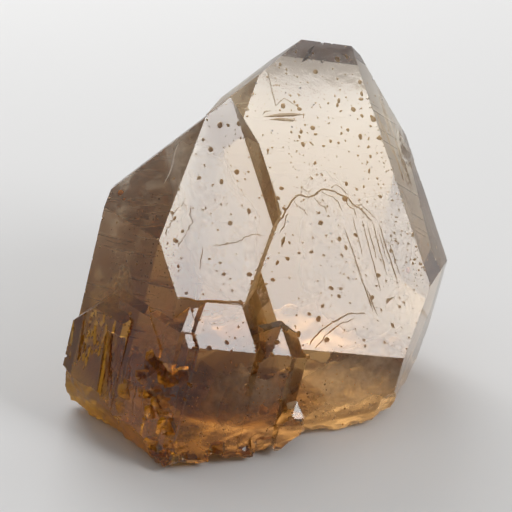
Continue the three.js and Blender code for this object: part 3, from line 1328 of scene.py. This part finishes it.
def veil(name, centre, facing, size, bend, density, spacing, smallest, largest, flatness, material, seed):
    """A piece of many flecks on a curved sheet, sealed in the stone."""
    host = curved_sheet(name + "_sheet", centre, facing, size[0], size[1], bend, seed)
    values = {
        "Density": density,
        "Spacing": spacing * MM,
        "Smallest": smallest * MM,
        "Largest": largest * MM,
        "Flatness": flatness,
        "Unevenness": 0.35 * smallest * MM,
        "Detail": 1,
        "Seed": seed,
        "Material": material,
    }
    mesh = run_tree(host, SCATTER, values)
    bpy.data.objects.remove(host)
    keep_inside(mesh, 12, 0.25)
    piece = new_object(name, mesh)
    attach(piece, "root")
    print(name, len(mesh.vertices) // 12, "flecks")
    return piece


TOWARD_VIEW = (0.05, -0.85, 0.5)
ALONG_FRONT = tuple(FRONT.out)
FRONT_DENSE = tuple(FRONT.at(19, -36, -2.2) / MM)
FRONT_THIN = tuple(FRONT.at(2, 8, -2.6) / MM)
# name, centre, facing, size, bend, then the scatter: density, spacing, smallest, largest, flatness
VEILS = [
    ("veil_left", (-33, -17, 60), (-0.3, -0.85, 0.4), (26, 34), 2.5,
     4e5, 0.8, 0.10, 0.42, 0.5, brown_fleck, 101),
    ("veil_left_pale", (-42, -18, 54), (-0.7, -0.6, 0.3), (14, 22), 1.5,
     9e5, 0.6, 0.10, 0.34, 0.4, pale_fleck, 102),
    ("veil_low_gold", (-6, -38, 26), TOWARD_VIEW, (44, 22), 2.0,
     4e5, 0.7, 0.10, 0.40, 0.5, gold_fleck, 103),
    ("veil_low_dark", (2, -30, 18), (0.2, -0.8, 0.6), (40, 20), 3.0,
     2.5e5, 0.9, 0.12, 0.5, 0.5, brown_fleck, 104),
    ("veil_right_low", (33, -16, 17), (0.3, -0.9, 0.3), (34, 18), 2.0,
     3e5, 0.8, 0.10, 0.36, 0.5, gold_fleck, 105),
    ("bubbles_foot", (-24, -40, 9), (-0.2, -0.7, 0.7), (46, 12), 1.0,
     1.1e6, 0.6, 0.10, 0.40, 0.7, pale_fleck, 106),
    ("bubbles_foot_right", (22, -24, 7), (0.2, -0.7, 0.7), (44, 8), 1.0,
     8e5, 0.6, 0.10, 0.34, 0.7, pale_fleck, 107),
    ("veil_front_dense", FRONT_DENSE, ALONG_FRONT, (15, 30), 0.5,
     7e5, 0.8, 0.10, 0.42, 0.6, brown_fleck, 108),
    ("veil_front_thin", FRONT_THIN, ALONG_FRONT, (44, 66), 0.8,
     4e4, 1.5, 0.12, 0.5, 0.6, brown_fleck, 109),
    ("veil_corner", (-36, -36, 34), (-0.6, -0.7, 0.2), (16, 22), 1.5,
     6e5, 0.6, 0.10, 0.36, 0.5, rust_fleck, 110),
]
for row in VEILS:
    veil(*row)

# %% [markdown]
# ## Closed shapes sealed in the stone
#
# What stands alone in the stone is a closed shape of its own: a ball, a rod that tapers at both ends,
# or a film. Each is put in its place as it is made, so that it sits at the origin, unturned.


# %% Sealing in, and rods
def sealed(name, mesh, material):
    """Make a finished mesh a piece of its own that rides on the stone."""
    mesh.materials.append(material)
    piece = new_object(name, mesh)
    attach(piece, "root")
    return piece


def spindle(name, start, end, radius, sides=8, rings=12, sway=0.0, flat=1.0):
    """A closed rod that tapers to a point at both ends, from start to end in mm."""
    start, end = Vector(start), Vector(end)
    way = (end - start).normalized()
    side = way.cross(Vector((0, 0, 1))).normalized()
    other = way.cross(side)
    points, faces = [start * MM], []
    for ring in range(1, rings):
        t = ring / rings
        bulge = radius * math.sin(math.pi * t) ** 0.6 * (1 + 0.25 * noise.noise(Vector((t * 7, radius, 3))))
        middle = start.lerp(end, t) + side * sway * math.sin(2.3 * math.pi * t)
        for i in range(sides):
            angle = 2 * math.pi * i / sides
            offset = side * math.cos(angle) * bulge + other * math.sin(angle) * bulge * flat
            points.append((middle + offset) * MM)
    points.append(end * MM)
    last = len(points) - 1
    for i in range(sides):
        j = (i + 1) % sides
        faces.append((0, 1 + j, 1 + i))
        for ring in range(rings - 2):
            a, b = 1 + ring * sides, 1 + (ring + 1) * sides
            faces.append((a + i, a + j, b + j, b + i))
        a = 1 + (rings - 2) * sides
        faces.append((a + i, a + j, last))
    mesh = mesh_from(name, points, faces)
    shape = bmesh.new()
    shape.from_mesh(mesh)
    bmesh.ops.recalc_face_normals(shape, faces=shape.faces)
    for face in shape.faces:
        face.smooth = True
    shape.to_mesh(mesh)
    shape.free()
    return mesh


# %% [markdown]
# ## Cracks and haze
#
# An opened crack is a film of air that scatters light, with a ragged edge that fades out. A few big
# faint ones do another job: they stand for a milky haze and hide the stone's own far corners, which
# would otherwise show as hard lines through a face. The gold films are painted light: their bright
# gold is painted glow and painted internal reflection, laid where the lower front and left shine
# gold. A film is one sheet with its copy a hair behind it and a wall round the rim, so that it is closed.


# %% Cracks, haze and painted gold glow
def crack_sheet(name, centre, facing, width, height, bend, seed, thickness=0.05):
    """A thin closed film on a curved ragged sheet, like an opened crack inside the stone."""
    sheet = curved_sheet(name + "_sheet", centre, facing, width, height, bend, seed)
    shape = bmesh.new()
    shape.from_mesh(sheet.data)
    bpy.data.objects.remove(sheet)
    bmesh.ops.subdivide_edges(shape, edges=shape.edges[:], cuts=2, use_grid_fill=True)
    for vertex in shape.verts:
        vertex.co += noise.noise_vector(vertex.co * 700 + Vector((seed, 0, 0))) * 0.35 * MM
    spare = []
    for vertex in shape.verts:
        _, where, normal, _ = body.closest_point_on_mesh(vertex.co)
        if (vertex.co - where).dot(normal) > -0.4 * MM:
            spare.append(vertex)
    bmesh.ops.delete(shape, geom=spare, context="VERTS")
    shape.normal_update()
    shape.verts.index_update()
    layer = shape.verts.layers.float["fade"]
    fades = [vertex[layer] for vertex in shape.verts]
    points = [vertex.co.copy() for vertex in shape.verts]
    points += [vertex.co - vertex.normal * thickness * MM for vertex in shape.verts]
    fronts = [[vertex.index for vertex in face.verts] for face in shape.faces]
    shape.free()

    count = len(fades)
    faces = fronts + [[i + count for i in reversed(front)] for front in fronts]
    sides = [side for front in fronts for side in zip(front, front[1:] + front[:1])]
    paired = set(sides)
    faces += [(b, a, a + count, b + count) for a, b in sides if (b, a) not in paired]
    mesh = mesh_from(name, points, faces)
    mesh.attributes.new("fade", "FLOAT", "POINT").data.foreach_set("value", fades * 2)
    mesh.shade_smooth()
    print(name, len(spare), "points near the skin left out")
    return mesh


def film_material(name, light, dark, roughness):
    """A cloudy film that thins out to nothing at its rim, where its fade attribute falls to 0."""
    material, tree, shader = new_material(name)
    place = tree.nodes.new("ShaderNodeTexCoord").outputs["Object"]
    cloud = map_range(tree, noise_at(tree, place, 500, 4), 0.35, 0.65)
    tree.links.new(mix_color(tree, cloud, dark, light), shader.inputs["Base Color"])
    fade = tree.nodes.new("ShaderNodeAttribute")
    fade.attribute_name = "fade"
    soft = tree.nodes.new("ShaderNodeMath")
    soft.operation = "MULTIPLY"
    tree.links.new(map_range(tree, fade.outputs["Fac"], 0.0, 0.55), soft.inputs[0])
    tree.links.new(map_range(tree, noise_at(tree, place, 140, 4), 0.3, 0.6, 0.35, 1.0), soft.inputs[1])
    tree.links.new(soft.outputs[0], shader.inputs["Alpha"])
    shader.inputs["Transmission Weight"].default_value = 0.75
    shader.inputs["IOR"].default_value = 1.3
    shader.inputs["Roughness"].default_value = roughness
    return material


# painted light: the gold film's bright gold colour is painted glow and painted internal reflection; the pale
# film is milky haze
gold_glow_film = film_material("gold_glow_film", (1.0, 0.86, 0.60, 1), (0.80, 0.55, 0.25, 1), 0.25)
pale_film = film_material("pale_film", (1.0, 0.97, 0.93, 1), (0.85, 0.80, 0.74, 1), 0.3)
ALONG_LEFT = tuple(LEFT_FRONT.out)
# name, centre, facing, width, height, bend, seed, skin
CRACKS = [
    ("haze_left", tuple(LEFT_FRONT.at(0, -3, -7) / MM), ALONG_LEFT, 34, 64, 1.0, 126, pale_film),
    ("haze_front", tuple(FRONT.at(6, -20, -8) / MM), ALONG_FRONT, 50, 74, 1.5, 127, pale_film),
    # painted light: the next four gold sheets are a painted internal reflection on the front and painted
    # glow low down and on the left
    ("gold_reflection_film", (-4, -45, 34), (0.3, -0.75, 0.55), 9, 6, 1.0, 121, gold_glow_film),
    ("low_crack_gold_glow", (-12, -42, 20), (-0.5, -0.8, 0.3), 12, 16, 1.5, 122, gold_glow_film),
    ("painted_glow_corner", (-30, -42, 40), (-0.2, -0.8, 0.55), 18, 16, 1.5, 129, gold_glow_film),
    ("painted_glow_left", (-44, -24, 50), (-0.6, -0.6, 0.5), 16, 20, 1.5, 130, gold_glow_film),
    ("crack_foot", (-26, -38, 9), (0.2, -0.6, 0.8), 16, 8, 1.0, 123, pale_film),
    ("crack_left", (-42, -20, 50), (-0.75, -0.6, 0.2), 10, 18, 1.0, 124, pale_film),
    ("haze_right", (31, -17, 15), (0.28, -0.92, 0.2), 46, 24, 1.2, 125, pale_film),
    ("haze_middle", (-6, -38, 22), (0.28, -0.92, 0.2), 34, 26, 1.2, 128, pale_film),
]
for name, centre, facing, width, height, bend, seed, film_skin in CRACKS:
    sealed(name, crack_sheet(name, centre, facing, width, height, bend, seed), film_skin)

# %% [markdown]
# ## The few things that stand alone
#
# Two rust-coloured grains sit under the left face and one under the right of the front. A dark spindle
# lies in the tip and a bright healed crack runs down the left edge. Under the front face, the walls of
# a flat crack almost touch, which shows rainbow colours, here painted on a few thin flakes.


# %% Grains, spindle, feather and rainbow crack
def rainbow_material():
    material, tree, shader = new_material("rainbow_film")
    place = tree.nodes.new("ShaderNodeTexCoord").outputs["Object"]
    ramp = tree.nodes.new("ShaderNodeValToRGB")
    ramp.color_ramp.elements[0].color = (1.0, 0.55, 0.75, 1)
    ramp.color_ramp.elements[1].color = (0.55, 0.95, 1.0, 1)
    for spot, color in ((0.35, (1, 1, 1, 1)), (0.5, (0.65, 1.0, 0.6, 1)), (0.65, (1, 1, 0.9, 1))):
        ramp.color_ramp.elements.new(spot).color = color
    tree.links.new(map_range(tree, noise_at(tree, place, 900, 2), 0.3, 0.7), ramp.inputs["Fac"])
    tree.links.new(ramp.outputs["Color"], shader.inputs["Base Color"])
    shader.inputs["Roughness"].default_value = 0.2
    shader.inputs["Metallic"].default_value = 0.6
    return material


inward = LEFT_TIP.out * -1.0
grain_spot = Vector((-45, -12.6, 81)) + inward * 1.0
sealed("rust_grain", uneven_ball("rust_grain", grain_spot, (0.9, 0.7, 1.1), 3, 0.5), rust_fleck)
small_spot = grain_spot + Vector((1.6, -0.4, -2.8))
sealed("rust_grain_small", uneven_ball("rust_grain_small", small_spot, (0.4, 0.3, 0.5), 2, 0.5), rust_fleck)
deeper = FRONT.out * -0.9
streak_top, streak_foot = Vector((18.9, 38.4, 110.4)) + deeper, Vector((14.8, 33.4, 106.6)) + deeper
streak = spindle("tip_spindle", streak_top, streak_foot, 0.62, sway=0.3)
sealed("tip_spindle", streak, brown_fleck)
feather_in = inward * 0.45
feather_top = Vector((-25.6, -4.8, 95.8)) + feather_in
feather_foot = Vector((-30.4, -16.6, 85.9)) + feather_in
feather = spindle("white_feather", feather_top, feather_foot, 0.26, rings=40, sway=0.35, flat=0.25)
sealed("white_feather", feather, pale_fleck)
film_spot = FRONT.at(12.3, -28.7, -0.5) / MM
film = rainbow_material()
veil("rainbow_crack", tuple(film_spot), ALONG_FRONT, (4.2, 3.0), 0.05, 4e6, 0.45, 0.12, 0.34, 0.2, film, 111)
orange_spot = FRONT.at(20.7, -27.8, -1.2) / MM
sealed("rust_grain_right", uneven_ball("rust_grain_right", orange_spot, (0.8, 0.4, 1.1), 2, 0.6), rust_fleck)

# %% [markdown]
# ## Floor and light
#
# Clear stone shows its surroundings more than itself, so the light is part of the model of it. A
# pale floor and a bright soft surround are what glows through the amber. One large softbox stands
# where the big front faces mirror it: every face that grew parallel lights up at once, and every pit
# and step in them breaks that mirror and shows the brown body behind. A dimmer panel beside it greys
# the mirror near the point, and two panels behind the stone light it through.


# %% Floor, surround and softbox
def make_floor(size=6.0):
    half = size / 2
    corners = [(-half, -half, 0), (half, -half, 0), (half, half, 0), (-half, half, 0)]
    thing = new_object("floor", mesh_from("floor", corners, [(0, 1, 2, 3)]))
    material, tree, shader = new_material("pale_floor")
    shader.inputs["Base Color"].default_value = (0.68, 0.68, 0.68, 1)
    shader.inputs["Roughness"].default_value = 0.9
    thing.data.materials.append(material)
    return thing


def make_surround(bright=1.0, dim=0.35):
    world = bpy.data.worlds.new("soft_surround")
    bpy.context.scene.world = world
    world.use_nodes = True
    nodes, links = world.node_tree.nodes, world.node_tree.links
    background = nodes["Background"]
    where = nodes.new("ShaderNodeTexCoord")
    split = nodes.new("ShaderNodeSeparateXYZ")
    links.new(where.outputs["Generated"], split.inputs[0])
    ramp = nodes.new("ShaderNodeMapRange")
    ramp.inputs["From Min"].default_value = -0.8
    ramp.inputs["From Max"].default_value = 0.4
    ramp.inputs["To Min"].default_value = dim
    ramp.inputs["To Max"].default_value = bright
    links.new(split.outputs["Y"], ramp.inputs["Value"])
    links.new(ramp.outputs["Result"], background.inputs["Strength"])
    background.inputs["Color"].default_value = (1.0, 0.99, 0.98, 1)


def make_panel(name, centre, turn, width, height, radiance):
    """A flat area light of a given size and brightness, shining along its own minus Z."""
    light = bpy.data.lights.new(name, "AREA")
    light.shape = "RECTANGLE"
    light.size, light.size_y = width, height
    light.energy = radiance * math.pi * width * height
    lamp = bpy.data.objects.new(name, light)
    lamp.rotation_euler = turn.to_euler()
    lamp.location = centre
    collection.objects.link(lamp)
    return lamp


make_floor()
make_surround(bright=0.72, dim=0.13)
MIRROR_WAY = Vector((0.664, -0.363, 0.654)).normalized()
SOFTBOX_AWAY = 1.2
SOFTBOX_SIDE = 0.42
SOFTBOX_EDGE = 0.101
PANEL_HEIGHT = 0.35
softbox_turn = MIRROR_WAY.to_track_quat("Z", "Y").to_matrix() @ Matrix.Rotation(math.radians(-41.2), 3, "Z")
softbox_middle = FRONT.at(-11, 0) + MIRROR_WAY * SOFTBOX_AWAY
edge_way = softbox_turn.col[1]
make_panel("softbox", softbox_middle + edge_way * (SOFTBOX_EDGE - SOFTBOX_SIDE / 2), softbox_turn,
           SOFTBOX_SIDE, SOFTBOX_SIDE, 9.0)
make_panel("edge_panel", softbox_middle + edge_way * (SOFTBOX_EDGE + PANEL_HEIGHT / 2), softbox_turn,
           SOFTBOX_SIDE, PANEL_HEIGHT, 0.9)
back_spot = Vector((-0.3, 1.05, 0.6))
back_turn = (back_spot - Vector((0, 0.5, 0))).to_track_quat("Z", "Y").to_matrix()
make_panel("back_panel", back_spot, back_turn, 0.9, 0.6, 6.0)
side_spot = Vector((0.70, 1.40, 0.12))
side_turn = (side_spot - Vector((0.06, 0, 0.07))).to_track_quat("Z", "Y").to_matrix()
make_panel("side_panel", side_spot, side_turn, 0.55, 0.5, 2.0)
bpy.context.scene.view_settings.view_transform = "Standard"
bpy.context.scene.cycles.max_bounces = 32
bpy.context.scene.cycles.transmission_bounces = 32
bpy.context.scene.cycles.glossy_bounces = 12
